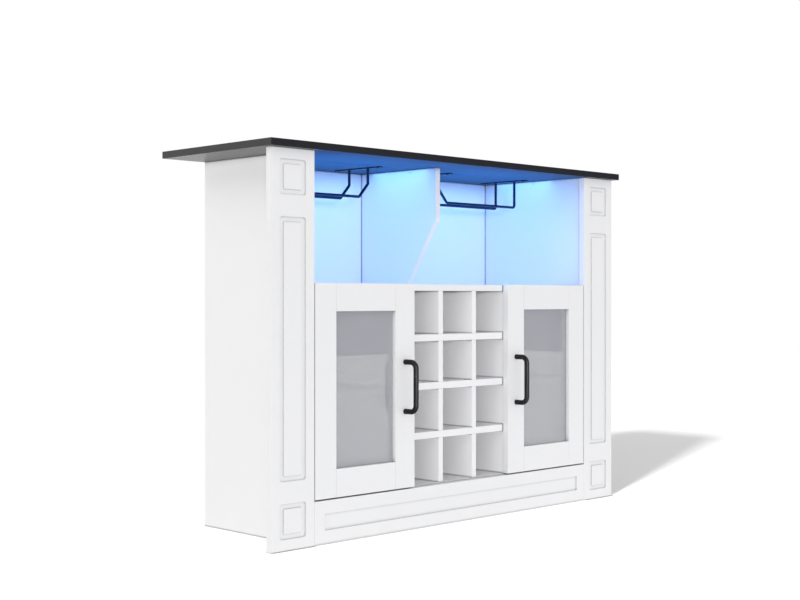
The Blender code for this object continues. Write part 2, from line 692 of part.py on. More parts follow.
def make_handle(name, side, door):
    """A round bar bent at both ends, held by a screw up each end from behind the stile."""
    heights = screw_heights()
    x = side * HANDLE_X
    corners = [
        (x, -FIT_GAP, heights["lower"]),
        (x, -HANDLE_STANDOFF, heights["lower"]),
        (x, -HANDLE_STANDOFF, heights["upper"]),
        (x, -FIT_GAP, heights["upper"]),
    ]
    bar = tube(rounded_path(corners, HANDLE_BEND_RADIUS), HANDLE_DIAMETER, HANDLE_BEVEL_RESOLUTION)
    handle = piece(f"{name}_door_handle", bar, BLACK_METAL, door, smooth=True)
    for label, height in heights.items():
        thread = (-SCREW_IN_HANDLE - FIT_GAP, CUT_PAST)
        cut(handle, rod(SCREW_RADIUS + FIT_GAP, 1, *thread, (x, height)), f"{label}_thread")
        head_span = (DOOR_THICK + FIT_GAP, DOOR_THICK + SCREW_HEAD_LENGTH)
        head = rod(SCREW_HEAD_RADIUS, 1, *head_span, (x, height))
        screw = piece(f"{name}_handle_screw_{label}", head, STEEL, door, smooth=True)
        shank_span = (-SCREW_IN_HANDLE, DOOR_THICK + 2 * FIT_GAP)
        join(screw, rod(SCREW_RADIUS, 1, *shank_span, (x, height)), "shank")


def make_hinge_cup(name, side, door, label, height):
    """A pressed cup let into the stile, with the hinge pin riveted across it."""
    outer = CUP_RADIUS - FIT_GAP
    inner = outer - CUP_WALL
    floor = DOOR_THICK - CUP_DEPTH + FIT_GAP
    rim = DOOR_THICK + FIT_GAP
    profile = [
        (0, floor),
        (outer, floor),
        (outer, rim),
        (CUP_FLANGE_RADIUS, rim),
        (CUP_FLANGE_RADIUS, rim + CUP_FLANGE_THICK),
        (inner, rim + CUP_FLANGE_THICK),
        (inner, floor + CUP_WALL),
        (0, floor + CUP_WALL),
    ]
    shape = turned(profile, (side * CUP_X, height))
    cup = piece(f"{name}_{label}_hinge_cup", shape, STEEL, door, smooth=True)
    half = math.sqrt(inner**2 - (CUP_INSET - HINGE_INSET) ** 2) + CUP_WALL / 2
    pin = rod(HINGE_PIN_RADIUS, 2, height - half, height + half, (side * HINGE_X, HINGE_DEPTH))
    join(cup, pin, "pin")


def arm_line():
    """Centre line of a hinge arm as (towards the middle, back) from its pin, round the door's edge."""
    out = Vector((math.cos(ARM_ANGLE), math.sin(ARM_ANGLE), 0))
    back = Vector((math.cos(ARM_RETURN_ANGLE), math.sin(ARM_RETURN_ANGLE), 0))
    foot = INNER_HALF - HINGE_X - FIT_GAP - ARM_FOOT_THICK + ARM_THICK / 2
    bend = math.pi - (ARM_RETURN_ANGLE - ARM_ANGLE)
    corner = out * (ARM_REACH + ARM_BEND_RADIUS / math.tan(bend / 2))
    run = (corner.x + foot) / -back.x
    turn = corner + back * run
    end = (-foot, ARM_FOOT_END - HINGE_DEPTH, 0)
    return rounded_path([(0, 0, 0), corner, turn, end], ARM_BEND_RADIUS, ARM_BEND_STEPS)


def thick_line(path, thickness):
    """Outline of a strip of even thickness along a flat path."""
    left = []
    right = []
    for number, point in enumerate(path):
        before = path[max(number - 1, 0)]
        after = path[min(number + 1, len(path) - 1)]
        way = (after - before).normalized()
        off = Vector((-way.y, way.x, 0)) * thickness / 2
        left.append(point + off)
        right.append(point - off)
    return [(p.x, p.y) for p in left + right[::-1]]


def make_hinge_arm(name, side, label, height):
    """A bent arm with an eye round the pin, on a winged foot against the side panel."""
    low = height - ARM_HEIGHT / 2
    high = height + ARM_HEIGHT / 2

    def place(point):
        return (side * (HINGE_X - point[0]), HINGE_DEPTH + point[1])

    outline = [place(point) for point in thick_line(arm_line(), ARM_THICK)]
    arm = piece(f"{name}_{label}_hinge_arm", prism(outline, 2, low, high), STEEL)
    centre = place((0, 0))
    join(arm, rod(HINGE_EYE_RADIUS, 2, low, high, centre), "eye")
    face = INNER_HALF - FIT_GAP
    foot_across = mirrored(side, face - ARM_FOOT_THICK, face)
    join(arm, block(foot_across, (ARM_FOOT_START, ARM_FOOT_END), (low, high)), "foot")
    wing_across = mirrored(side, face - WING_THICK, face)
    wing_tall = (height - WING_HEIGHT / 2, height + WING_HEIGHT / 2)
    join(arm, block(wing_across, (WING_START, WING_END), wing_tall), "wings")
    bore = rod(HINGE_PIN_RADIUS + FIT_GAP, 2, low - CUT_PAST, high + CUT_PAST, centre)
    cut(arm, bore, "pin_bore")


def make_door(name, side):
    """A framed glass door that swings on its hinge pins."""
    door = empty(f"{name}_door_axis", (side * HINGE_X, HINGE_DEPTH, 0), BODY)
    make_stiles(name, side, door)
    make_rails(name, side, door)
    make_glazing(name, side, door)
    make_handle(name, side, door)
    for label, height in HINGE_HEIGHTS.items():
        make_hinge_cup(name, side, door, label, height)
        make_hinge_arm(name, side, label, height)


make_top()
make_plinths()
make_bottom_panel()
make_deck()
make_back_panels()
make_upper_divider()
for shelf_name, shelf_underside in RACK_SHELF_UNDERSIDES.items():
    make_rack_shelf(shelf_name, shelf_underside)
for side_name, side_sign in SIDES.items():
    make_side_panel(side_name, side_sign)
    make_pilaster(side_name, side_sign)
    make_partition(side_name, side_sign)
    make_rack_divider(side_name, side_sign)
    make_cupboard_shelf(side_name, side_sign)
    make_light_strip(side_name, side_sign)
    make_stem_rack(side_name, side_sign)
    make_door(side_name, side_sign)
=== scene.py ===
import json
import math

import bmesh
import bpy
from mathutils import Matrix, Vector


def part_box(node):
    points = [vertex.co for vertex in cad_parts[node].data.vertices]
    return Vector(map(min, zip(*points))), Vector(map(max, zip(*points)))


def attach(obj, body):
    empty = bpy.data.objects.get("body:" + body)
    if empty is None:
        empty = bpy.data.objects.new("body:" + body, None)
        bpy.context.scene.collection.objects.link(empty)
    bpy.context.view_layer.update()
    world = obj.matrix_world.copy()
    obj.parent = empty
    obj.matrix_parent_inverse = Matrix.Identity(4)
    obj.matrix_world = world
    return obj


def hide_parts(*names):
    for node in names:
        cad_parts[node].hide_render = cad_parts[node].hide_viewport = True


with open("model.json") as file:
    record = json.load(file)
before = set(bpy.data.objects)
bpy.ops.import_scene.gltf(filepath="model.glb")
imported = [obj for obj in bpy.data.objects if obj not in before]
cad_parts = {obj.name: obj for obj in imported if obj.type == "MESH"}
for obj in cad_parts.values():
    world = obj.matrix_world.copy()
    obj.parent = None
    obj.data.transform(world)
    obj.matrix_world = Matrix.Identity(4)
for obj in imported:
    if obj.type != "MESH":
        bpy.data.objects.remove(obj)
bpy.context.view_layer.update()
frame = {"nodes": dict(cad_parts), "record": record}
NODES = frame["nodes"]
SLOT_OF = {row["node"]: row["material_slot"] for row in frame["record"]["subparts"]}
BODIES = frame["record"]["behaviour"]["bodies"]
BODY_OF = {node: body for body, nodes in BODIES.items() for node in nodes}
RACK_NAMES = [name for name in NODES if name.startswith("rack_") or name.endswith("_partition")]
SIDES = {"left": -1, "right": 1}
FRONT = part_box("left_pilaster")[0].y
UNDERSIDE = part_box("top_slab")[0].z
INNER_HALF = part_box("right_pilaster")[0].x

# Tolerances in metres: a merge distance, a point on a board's outline box, a point near a face
HAIR = 1e-6
ON_BOX = 1e-5
NEAR = 1e-4


# Materials
def shader_of(name):
    """A new material and its Principled shader."""
    material = bpy.data.materials.new(name)
    material.use_nodes = True
    return material, material.node_tree.nodes["Principled BSDF"]


def maths(tree, operation, *values):
    """The result of a math node whose inputs are numbers or other nodes' results."""
    node = tree.nodes.new("ShaderNodeMath")
    node.operation = operation
    for number, value in enumerate(values):
        if isinstance(value, bpy.types.NodeSocket):
            tree.links.new(value, node.inputs[number])
        else:
            node.inputs[number].default_value = value
    return node.outputs[0]


def coordinates(tree):
    """How far a point lies from the object's middle plane, then its depth and its height."""
    place = tree.nodes.new("ShaderNodeTexCoord")
    parts = tree.nodes.new("ShaderNodeSeparateXYZ")
    tree.links.new(place.outputs["Object"], parts.inputs[0])
    return maths(tree, "ABSOLUTE", parts.outputs["X"]), parts.outputs["Y"], parts.outputs["Z"]


def surface_group():
    """Uneven tone, gloss and fine relief for a coated surface, by its place on the object."""
    group = bpy.data.node_groups.new("coated_surface", "ShaderNodeTree")
    for name, kind, value in (
        ("Colour", "NodeSocketColor", (0.8, 0.8, 0.8, 1.0)),
        ("Tone Shift", "NodeSocketFloat", 0.02),
        ("Cloud Scale", "NodeSocketFloat", 5.0),
        ("Roughness", "NodeSocketFloat", 0.4),
        ("Roughness Shift", "NodeSocketFloat", 0.06),
        ("Grain Scale", "NodeSocketFloat", 700.0),
    ):
        socket = group.interface.new_socket(name=name, in_out="INPUT", socket_type=kind)
        socket.default_value = value
    for name, kind in (
        ("Colour", "NodeSocketColor"),
        ("Roughness", "NodeSocketFloat"),
        ("Height", "NodeSocketFloat"),
    ):
        group.interface.new_socket(name=name, in_out="OUTPUT", socket_type=kind)
    nodes, links = group.nodes, group.links
    source = nodes.new("NodeGroupInput")
    result = nodes.new("NodeGroupOutput")
    place = nodes.new("ShaderNodeTexCoord")
    cloud = nodes.new("ShaderNodeTexNoise")
    cloud.inputs["Detail"].default_value = 3.0
    grain = nodes.new("ShaderNodeTexNoise")
    grain.inputs["Detail"].default_value = 2.0
    for texture, scale in ((cloud, "Cloud Scale"), (grain, "Grain Scale")):
        links.new(place.outputs["Object"], texture.inputs["Vector"])
        links.new(source.outputs[scale], texture.inputs["Scale"])
    clouded = maths(group, "SUBTRACT", cloud.outputs["Fac"], 0.5)
    value = maths(group, "MULTIPLY_ADD", clouded, source.outputs["Tone Shift"], 1.0)
    tone = nodes.new("ShaderNodeHueSaturation")
    links.new(source.outputs["Colour"], tone.inputs["Color"])
    links.new(value, tone.inputs["Value"])
    links.new(tone.outputs["Color"], result.inputs["Colour"])
    grained = maths(group, "SUBTRACT", grain.outputs["Fac"], 0.5)
    shift, middle = source.outputs["Roughness Shift"], source.outputs["Roughness"]
    links.new(maths(group, "MULTIPLY_ADD", grained, shift, middle), result.inputs["Roughness"])
    links.new(grain.outputs["Fac"], result.inputs["Height"])
    return group


COATED = surface_group()
RELIEF_DEPTH = 0.0002


def painted_corner_shade(tree, colour, reach, closed, clear, darkest, own=False):
    """Paints shade into a colour where other faces stand close: darkest where closed, ending
    where clear.
    With own, only the faces of the same piece count."""
    corner = tree.nodes.new("ShaderNodeAmbientOcclusion")
    corner.samples = 6
    corner.only_local = own
    corner.inputs["Distance"].default_value = reach
    share = tree.nodes.new("ShaderNodeMapRange")
    share.inputs["From Min"].default_value = closed
    share.inputs["From Max"].default_value = clear
    share.inputs["To Min"].default_value = darkest
    tree.links.new(corner.outputs["AO"], share.inputs["Value"])
    shaded_colour = tree.nodes.new("ShaderNodeMix")
    shaded_colour.data_type = "RGBA"
    shaded_colour.blend_type = "MULTIPLY"
    shaded_colour.inputs["Factor"].default_value = 1.0
    tree.links.new(colour, shaded_colour.inputs["A"])
    tree.links.new(share.outputs["Result"], shaded_colour.inputs["B"])
    return shaded_colour.outputs["Result"]


def coated(
    name,
    colour,
    roughness,
    tone=0.02,
    cloud=5.0,
    shift=0.06,
    grain=700.0,
    relief=0.05,
    joints=(),
    fixed=None,
):
    """A material whose colour, gloss and fine relief come from the coated surface group. Joints
    gives the values of the shade painted into its corners, fixed the plain values of its shader."""
    material, shader = shader_of(name)
    tree = material.node_tree
    surface = tree.nodes.new("ShaderNodeGroup")
    surface.node_tree = COATED
    surface.inputs["Colour"].default_value = (*colour, 1.0)
    surface.inputs["Tone Shift"].default_value = tone
    surface.inputs["Cloud Scale"].default_value = cloud
    surface.inputs["Roughness"].default_value = roughness
    surface.inputs["Roughness Shift"].default_value = shift
    surface.inputs["Grain Scale"].default_value = grain
    bump = tree.nodes.new("ShaderNodeBump")
    bump.inputs["Strength"].default_value = relief
    bump.inputs["Distance"].default_value = RELIEF_DEPTH
    colour_out = surface.outputs["Colour"]
    # Painted shade: each joints entry darkens the colour in corners and joints where other faces
    # stand close
    for joint in joints:
        colour_out = painted_corner_shade(tree, colour_out, **joint)
    tree.links.new(colour_out, shader.inputs["Base Color"])
    tree.links.new(surface.outputs["Roughness"], shader.inputs["Roughness"])
    tree.links.new(surface.outputs["Height"], bump.inputs["Height"])
    tree.links.new(bump.outputs["Normal"], shader.inputs["Normal"])
    for socket, value in (fixed or {}).items():
        shader.inputs[socket].default_value = value
    return material


# Painted shade: the white boards, rack, pilasters, plinth and doors get colour darkened in their
# corners, grooves, gaps and reveals
WHITE = (0.90, 0.90, 0.908)
WHITE_BOARD = coated(
    "white_melamine",
    WHITE,
    roughness=0.45,
    joints=[dict(reach=0.005, closed=0.30, clear=0.97, darkest=0.02)],
)
WHITE_RACK = coated(
    "white_rack_board",
    WHITE,
    roughness=0.45,
    joints=[dict(reach=0.0055, closed=0.30, clear=0.97, darkest=0.02)],
)
WHITE_PILASTER = coated(
    "white_routed_pilaster",
    WHITE,
    roughness=0.42,
    joints=[
        dict(reach=0.010, closed=0.08, clear=0.46, darkest=0.0),
        dict(reach=0.008, closed=0.42, clear=0.90, darkest=0.60, own=True),
    ],
)
WHITE_PLINTH = coated(
    "white_sunk_plinth",
    WHITE,
    roughness=0.42,
    joints=[
        dict(reach=0.004, closed=0.10, clear=0.46, darkest=0.0),
        dict(reach=0.008, closed=0.45, clear=0.92, darkest=0.62),
    ],
)
WHITE_DOOR = coated(
    "white_door_frame",
    WHITE,
    roughness=0.42,
    joints=[
        dict(reach=0.010, closed=0.10, clear=0.52, darkest=0.0),
        dict(reach=0.020, closed=0.45, clear=0.78, darkest=0.66),
    ],
)
# Painted shade: the laminate's colour is darkened where other faces stand close
BLACK_LAMINATE = coated(
    "black_laminate",
    (0.016, 0.016, 0.017),
    roughness=0.33,
    tone=0.2,
    shift=0.1,
    grain=420.0,
    joints=[dict(reach=0.006, closed=0.45, clear=0.95, darkest=0.0)],
)
BLACK_COAT = coated(
    "black_powder_coat",
    (0.006, 0.006, 0.0065),
    roughness=0.45,
    tone=0.2,
    grain=1500.0,
    relief=0.15,
    fixed={"Specular IOR Level": 0.13},
)
BLACK_WIRE = coated(
    "black_coated_wire",
    (0.003, 0.006, 0.0085),
    roughness=0.38,
    tone=0.2,
    grain=1500.0,
    relief=0.1,
    fixed={"Specular IOR Level": 0.2},
)
BACKING_DULLS = 0.6
BACKING_SKIN = 0.0002


def matt_backing(material):
    """Dulls the laminate's underside between the side panels, where it has a matt backing."""
    tree = material.node_tree
    gloss = tree.nodes["Principled BSDF"].inputs["Roughness"]
    across, _, height = coordinates(tree)
    within = maths(tree, "LESS_THAN", across, INNER_HALF)
    below = maths(tree, "LESS_THAN", height, UNDERSIDE + BACKING_SKIN)
    backed = maths(tree, "MULTIPLY", within, below)
    dulled = maths(tree, "MULTIPLY_ADD", backed, BACKING_DULLS, gloss.links[0].from_socket)
    tree.links.new(dulled, gloss)


matt_backing(BLACK_LAMINATE)
NICKEL = coated(
    "nickel_plate",
    (0.66, 0.65, 0.63),
    roughness=0.30,
    tone=0.05,
    cloud=25.0,
    shift=0.05,
    grain=300.0,
    relief=0.01,
    fixed={"Metallic": 1.0},
)
CLEAR_BEAD = coated("clear_plastic_bead", (0.86, 0.87, 0.88), roughness=0.35)
GREY_GLASS = coated(
    "grey_glass",
    (0.485, 0.49, 0.525),
    roughness=0.004,
    tone=0.03,
    cloud=2.0,
    shift=0.004,
    relief=0.0,
    fixed={"Alpha": 0.55, "IOR": 2.1},
)
LIT_STRIP = coated(
    "lit_strip",
    (0.02, 0.05, 0.12),
    roughness=0.8,
    fixed={
        "Specular IOR Level": 0.1,
        "Emission Color": (0.08, 0.27, 1.0, 1.0),
        "Emission Strength": 0.22,
    },
)
FINISHES = {
    "white_board": WHITE_BOARD,
    "black_top": BLACK_LAMINATE,
    "black_metal": BLACK_COAT,
    "hinge_steel": NICKEL,
    "grey_glass": GREY_GLASS,
    "clear_bead": CLEAR_BEAD,
    "light_strip": LIT_STRIP,
}
for node, piece in NODES.items():
    piece.data.materials.clear()
    piece.data.materials.append(WHITE_RACK if node in RACK_NAMES else FINISHES[SLOT_OF[node]])


# Making pieces
def placed(name, shape, slot, body, smooth=False, finish=None):
    """Turns a finished bmesh into a piece of the object that rides on a body."""
    mesh = bpy.data.meshes.new(name)
    shape.to_mesh(mesh)
    shape.free()
    mesh.materials.append(finish or FINISHES[slot])
    if smooth:
        mesh.shade_smooth()
        mesh.set_sharp_from_angle(angle=math.radians(35))
    else:
        mesh.shade_flat()
    made = bpy.data.objects.new(name, mesh)
    bpy.context.scene.collection.objects.link(made)
    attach(made, body)
    return made


def stands_in(node, shape, label, smooth=False, finish=None):
    """Puts a finished shape in the place of a solid."""
    made = placed(f"{node}_{label}", shape, SLOT_OF[node], BODY_OF[node], smooth, finish)
    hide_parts(node)
    return made


def board_shape(node):
    """A solid's mesh with its loose triangles merged and its flat faces made whole."""
    shape = bmesh.new()
    shape.from_mesh(NODES[node].data)
    bmesh.ops.remove_doubles(shape, verts=shape.verts, dist=HAIR)
    flat = math.radians(1)
    bmesh.ops.dissolve_limit(shape, angle_limit=flat, verts=shape.verts, edges=shape.edges)
    return shape


def eased(shape, edges, width, segments=2):
    """Rounds the given edges over."""
    bmesh.ops.bevel(
        shape,
        geom=edges,
        offset=width,
        offset_type="OFFSET",
        affect="EDGES",
        segments=segments,
        profile=0.5,
        clamp_overlap=True,
        material=-1,
    )


def hard_edges(shape):
    """The edges where two faces meet at a clear angle."""
    clear = math.radians(30)
    return [e for e in shape.edges if len(e.link_faces) == 2 and e.calc_face_angle(0) > clear]


def outer_edges(shape, low, high):
    """The hard edges that run along the outline box of a board."""

    def sides_met(vert):
        gaps = [min(abs(vert.co[i] - low[i]), abs(vert.co[i] - high[i])) for i in range(3)]
        return sum(gap < ON_BOX for gap in gaps)

    return [e for e in hard_edges(shape) if all(sides_met(v) >= 2 for v in e.verts)]


def ease_edges(node, width, finish=None):
    """Stands in for a solid with all its hard edges eased."""
    shape = board_shape(node)
    eased(shape, hard_edges(shape), width)
    return stands_in(node, shape, "eased", finish=finish)


def round_fitting(node, width):
    """A turned steel fitting with its rims eased and its round faces shaded smooth."""
    shape = board_shape(node)
    eased(shape, hard_edges(shape), width)
    stands_in(node, shape, "smooth", smooth=True)


def add_box(shape, low, high, ease):
    """Adds a block between two corners, its edges eased."""
    verts = bmesh.ops.create_cube(shape, size=1)["verts"]
    size = [abs(b - a) for a, b in zip(low, high)]
    middle = [(a + b) / 2 for a, b in zip(low, high)]
    bmesh.ops.scale(shape, verts=verts, vec=size)
    bmesh.ops.translate(shape, verts=verts, vec=middle)
    eased(shape, list({e for v in verts for e in v.link_edges}), ease)


def add_bent_bar(shape, corners, radius, bend, sides, steps):
    """Adds a round bar through the corners, bent at each inner one, its ends closed."""
    points = [Vector(corner) for corner in corners]
    ways = [(b - a).normalized() for a, b in zip(points, points[1:])]
    ring = bmesh.ops.create_circle(shape, cap_ends=True, segments=sides, radius=radius)["verts"]
    turn = Vector((0, 0, 1)).rotation_difference(ways[0]).to_matrix().to_4x4()
    bmesh.ops.transform(shape, verts=ring, matrix=Matrix.Translation(points[0]) @ turn)
    edges = list({e for v in ring for e in v.link_edges})
    place = points[0]
    for number, way in enumerate(ways):
        end = points[number + 1]
        last = number + 1 == len(ways)
        angle = 0 if last else way.angle(ways[number + 1])
        stop = end - way * bend * math.tan(angle / 2)
        grown = bmesh.ops.extrude_edge_only(shape, edges=edges)["geom"]
        verts = [g for g in grown if isinstance(g, bmesh.types.BMVert)]
        edges = [g for g in grown if isinstance(g, bmesh.types.BMEdge)]
        bmesh.ops.translate(shape, verts=verts, vec=stop - place)
        place = stop
        if last:
            bmesh.ops.edgeloop_fill(shape, edges=edges)
            continue
        after = ways[number + 1]
        inwards = (after - way * way.dot(after)).normalized()
        bent = bmesh.ops.spin(
            shape,
            geom=verts + edges,
            cent=stop + inwards * bend,
            axis=way.cross(after).normalized(),
            angle=angle,
            steps=steps,
        )["geom_last"]
        edges = [g for g in bent if isinstance(g, bmesh.types.BMEdge)]
        place = end + after * bend * math.tan(angle / 2)


def add_turned(shape, profile, place, axis, sides=24):
    """Adds a turned shape: (radius, height) points spun about an axis from a place."""
    turned = bmesh.new()
    points = [turned.verts.new((radius, 0, height)) for radius, height in profile]
    edges = [turned.edges.new(pair) for pair in zip(points, points[1:])]
    bmesh.ops.spin(
        turned,
        geom=points + edges,
        cent=(0, 0, 0),
        axis=(0, 0, 1),
        angle=2 * math.pi,
        steps=sides,
        use_merge=True,
    )
    bmesh.ops.remove_doubles(turned, verts=turned.verts, dist=HAIR)
    bmesh.ops.recalc_face_normals(turned, faces=turned.faces)
    turn = Vector((0, 0, 1)).rotation_difference(Vector(axis)).to_matrix().to_4x4()
    bmesh.ops.transform(turned, verts=turned.verts, matrix=Matrix.Translation(place) @ turn)
    mesh = bpy.data.meshes.new("turned")
    turned.to_mesh(mesh)
    turned.free()
    shape.from_mesh(mesh)
    bpy.data.meshes.remove(mesh)


# Boards, doors, handles and stemware racks
DOOR_EASE = 0.0003
BOARD_EASE = 0.0005
PANE_EASE = 0.0002
RAIL_TRIM = 0.0014
RAIL_FRONT_DEEP = 0.013
PLINTH_TRIM = 0.0005
PANEL_SEAM = 0.0022
HANDLE_BEND = 0.018
STEM_BAR_WIDE, STEM_BAR_THICK, STEM_BAR_EASE = 0.015, 0.003, 0.0006
STEM_WIRE = 0.004
STEM_WIRE_BEND = 0.008
STEM_WIRE_APART = 0.038
STEM_WIRES_FORWARD = {"left": 0.001, "right": 0.005}
STEM_WIRE_SLANT = (0.033, 0.037)
STEM_WELD = 0.001


def trimmed_rail(node):
    """A door rail, a hair short of its stiles, so that the joints show as fine lines."""
    shape = board_shape(node)
    front_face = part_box(node)[0].y
    front = [v for v in shape.verts if v.co.y < front_face + RAIL_FRONT_DEEP]
    left_end = min(v.co.x for v in front)
    right_end = max(v.co.x for v in front)
    for end, way in ((left_end, 1), (right_end, -1)):
        verts = [v for v in front if abs(v.co.x - end) < ON_BOX]
        bmesh.ops.translate(shape, verts=verts, vec=(way * RAIL_TRIM, 0, 0))
    eased(shape, hard_edges(shape), DOOR_EASE)
    return stands_in(node, shape, "eased", finish=WHITE_DOOR)


def ease_foot(shape, low, high):
    """Breaks the lower edges of a board that stands on the floor."""
    edges = outer_edges(shape, low, high)
    foot = [e for e in edges if max(v.co.z for v in e.verts) < low.z + NEAR]
    eased(shape, foot, BOARD_EASE, segments=1)


def ease_pilaster(node):
    """A pilaster with its outer edges eased and its routed fields left crisp."""
    shape = board_shape(node)
    low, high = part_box(node)
    ease_foot(shape, low, high)
    edges = outer_edges(shape, low, high)
    upper = [e for e in edges if min(v.co.z for v in e.verts) > high.z - NEAR]
    eased(shape, upper, BOARD_EASE)
    stands_in(node, shape, "eased", finish=WHITE_PILASTER)


def ease_side_panel(node):
    """A side panel, its back edges eased and its front edges broken along the pilaster."""
    shape = board_shape(node)
    low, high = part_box(node)
    front = [e for e in hard_edges(shape) if max(v.co.y for v in e.verts) < low.y + NEAR]
    seam = [e for e in front if e.calc_length() > (high.z - low.z) / 2]
    eased(shape, seam, PANEL_SEAM, segments=1)
    back = [e for e in hard_edges(shape) if min(v.co.y for v in e.verts) > high.y - NEAR]
    eased(shape, back, BOARD_EASE)
    stands_in(node, shape, "eased")


def make_handle(side):
    """The bar handle, drawn as one smooth bent bar."""
    node = f"{side}_door_handle"
    low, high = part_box(node)
    radius = (high.x - low.x) / 2
    x = (high.x + low.x) / 2
    reach = low.y + radius + HAIR
    bottom, top = low.z + radius, high.z - radius
    corners = [(x, high.y, bottom), (x, reach, bottom), (x, reach, top), (x, high.y, top)]
    shape = bmesh.new()
    add_bent_bar(shape, corners, radius, HANDLE_BEND, sides=32, steps=14)
    bmesh.ops.recalc_face_normals(shape, faces=shape.faces)
    stands_in(node, shape, "bar", smooth=True)


def make_stem_rack(side, way):
    """The rack for stemmed glasses: two flat bars with two smooth bent wires welded across."""
    node = f"{side}_stem_rack"
    low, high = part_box(node)
    half = STEM_BAR_WIDE / 2
    inner, outer = sorted((low.x, high.x), key=abs)
    inner += way * half
    outer -= way * half
    shape = bmesh.new()
    for x in (inner, outer):
        bar_low = (x - half, low.y, high.z - STEM_BAR_THICK)
        add_box(shape, bar_low, (x + half, high.y, high.z), STEM_BAR_EASE)
    bottom = low.z + STEM_WIRE
    weld = high.z - STEM_BAR_THICK + STEM_WELD
    for apart in (-STEM_WIRE_APART, STEM_WIRE_APART):
        y = apart + (low.y + high.y) / 2 - STEM_WIRES_FORWARD[side]
        corners = [
            (inner, y, weld),
            (inner, y, bottom + STEM_WIRE_SLANT[1]),
            (inner + way * STEM_WIRE_SLANT[0], y, bottom),
            (outer, y, bottom),
            (outer, y, weld),
        ]
        add_bent_bar(shape, corners, STEM_WIRE, STEM_WIRE_BEND, sides=20, steps=8)
    bmesh.ops.recalc_face_normals(shape, faces=shape.faces)
    stands_in(node, shape, "welded", smooth=True, finish=BLACK_WIRE)


def make_front_plinth():
    """The front plinth, its foot eased and its top a hair under the bottom panel."""
    shape = board_shape("front_plinth")
    low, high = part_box("front_plinth")
    ease_foot(shape, low, high)
    top = [v for v in shape.verts if v.co.z > high.z - NEAR]
    bmesh.ops.translate(shape, verts=top, vec=(0, 0, -PLINTH_TRIM))
    stands_in("front_plinth", shape, "eased", finish=WHITE_PLINTH)


for side, way in SIDES.items():
    for part in ("hinge_stile", "handle_stile"):
        ease_edges(f"{side}_door_{part}", DOOR_EASE, WHITE_DOOR)
    for part in ("top_rail", "bottom_rail"):
        trimmed_rail(f"{side}_door_{part}")
    ease_pilaster(f"{side}_pilaster")
    ease_side_panel(f"{side}_side_panel")
    ease_edges(f"{side}_cupboard_shelf", BOARD_EASE)
    ease_edges(f"{side}_door_glass", PANE_EASE)
    make_handle(side)
    make_stem_rack(side, way)
make_front_plinth()
for node in ("rear_plinth", "upper_divider", "deck", "bottom_panel"):
    ease_edges(node, BOARD_EASE)

EDGE_BAND = 0.0004
BAND_SLOPE = -0.3
LEAD_NOTCH_ROOM = 0.02


def add_edge_band(node):
    """The edge band glued along the front edge of a board, apart from the notch for the lead."""
    shape = board_shape(node)
    low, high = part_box(node)

    def on_front(face):
        middle = face.calc_center_median()
        near_top = middle.z > high.z - LEAD_NOTCH_ROOM
        in_notch = near_top and middle.y > low.y + LEAD_NOTCH_ROOM
        return face.normal.y < BAND_SLOPE and not in_notch

    bmesh.ops.delete(shape, geom=[f for f in shape.faces if not on_front(f)], context="FACES")
    grown = bmesh.ops.extrude_face_region(shape, geom=shape.faces[:], use_keep_orig=True)["geom"]
    for vert in [g for g in grown if isinstance(g, bmesh.types.BMVert)]:
        vert.co.y -= EDGE_BAND
    bmesh.ops.recalc_face_normals(shape, faces=shape.faces)
    return placed(f"{node}_edge_band", shape, SLOT_OF[node], BODY_OF[node])


add_edge_band("upper_divider")
slab = board_shape("top_slab")
eased(slab, outer_edges(slab, *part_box("top_slab")), BOARD_EASE)
stands_in("top_slab", slab, "eased")

# Hinges, screws and pins
HINGE_X = 0.5075
HINGE_PIN_RADIUS, HINGE_PIN_HALF = 0.0016, 0.0163
HINGE_PIN_DEPTH = 0.0088
HINGE_ARM_EASE = 0.0002
HINGE_WING = 0.002
HINGE_FOOT = 0.0055
WING_MIDDLE = 0.065
WING_SCREW_OFFSET = 0.0185
FOOT_SPAN = (0.044, 0.092)
FOOT_SCREW_INSET = 0.011
CUP_RADIUS = 0.0172
CUP_WALL = 0.0009
CUP_FLANGE = 0.0008
CUP_ROUND = 0.0022
CORNER_CUT = 0.3
HANDLE_SCREW_EASE = 0.0007
SHELF_PIN_EASE = 0.0005
STEM_SCREW_INSET = 0.012


def make_hinge_cup(side, way, label):
    """A hinge cup pressed from sheet steel, its flange rolled over, with the pin across it."""
    node = f"{side}_{label}_hinge_cup"
    low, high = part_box(node)
    x, _, z = [(a + b) / 2 for a, b in zip(low, high)]
    deep = high.y - low.y
    rim = (high.x - low.x) / 2
    inner = CUP_RADIUS - CUP_WALL
    profile = [
        (0, 0),
        (CUP_RADIUS - CUP_ROUND, 0),
        (CUP_RADIUS - CUP_ROUND * CORNER_CUT, CUP_ROUND * CORNER_CUT),
        (CUP_RADIUS, CUP_ROUND),
        (CUP_RADIUS, deep - CUP_FLANGE),
        (rim, deep - CUP_FLANGE),
        (rim, deep - CUP_FLANGE * 0.5),
        (rim - CUP_FLANGE * 0.5, deep),
        (inner + CUP_FLANGE, deep),
        (inner + CUP_FLANGE * CORNER_CUT, deep - CUP_FLANGE * CORNER_CUT),
        (inner, deep - CUP_FLANGE),
        (inner, CUP_ROUND + CUP_WALL),
        (inner - CUP_ROUND * CORNER_CUT, CUP_ROUND * CORNER_CUT + CUP_WALL),
        (inner - CUP_ROUND, CUP_WALL),
        (0, CUP_WALL),
    ]
    shape = bmesh.new()
    add_turned(shape, profile, (x, low.y, z), (0, 1, 0), sides=48)
    radius, half = HINGE_PIN_RADIUS, HINGE_PIN_HALF
    pin = [(0, -half), (radius, -half), (radius, half), (0, half)]
    add_turned(shape, pin, (way * HINGE_X, FRONT + HINGE_PIN_DEPTH, z), (0, 0, 1), sides=16)
    stands_in(node, shape, "pressed", smooth=True)


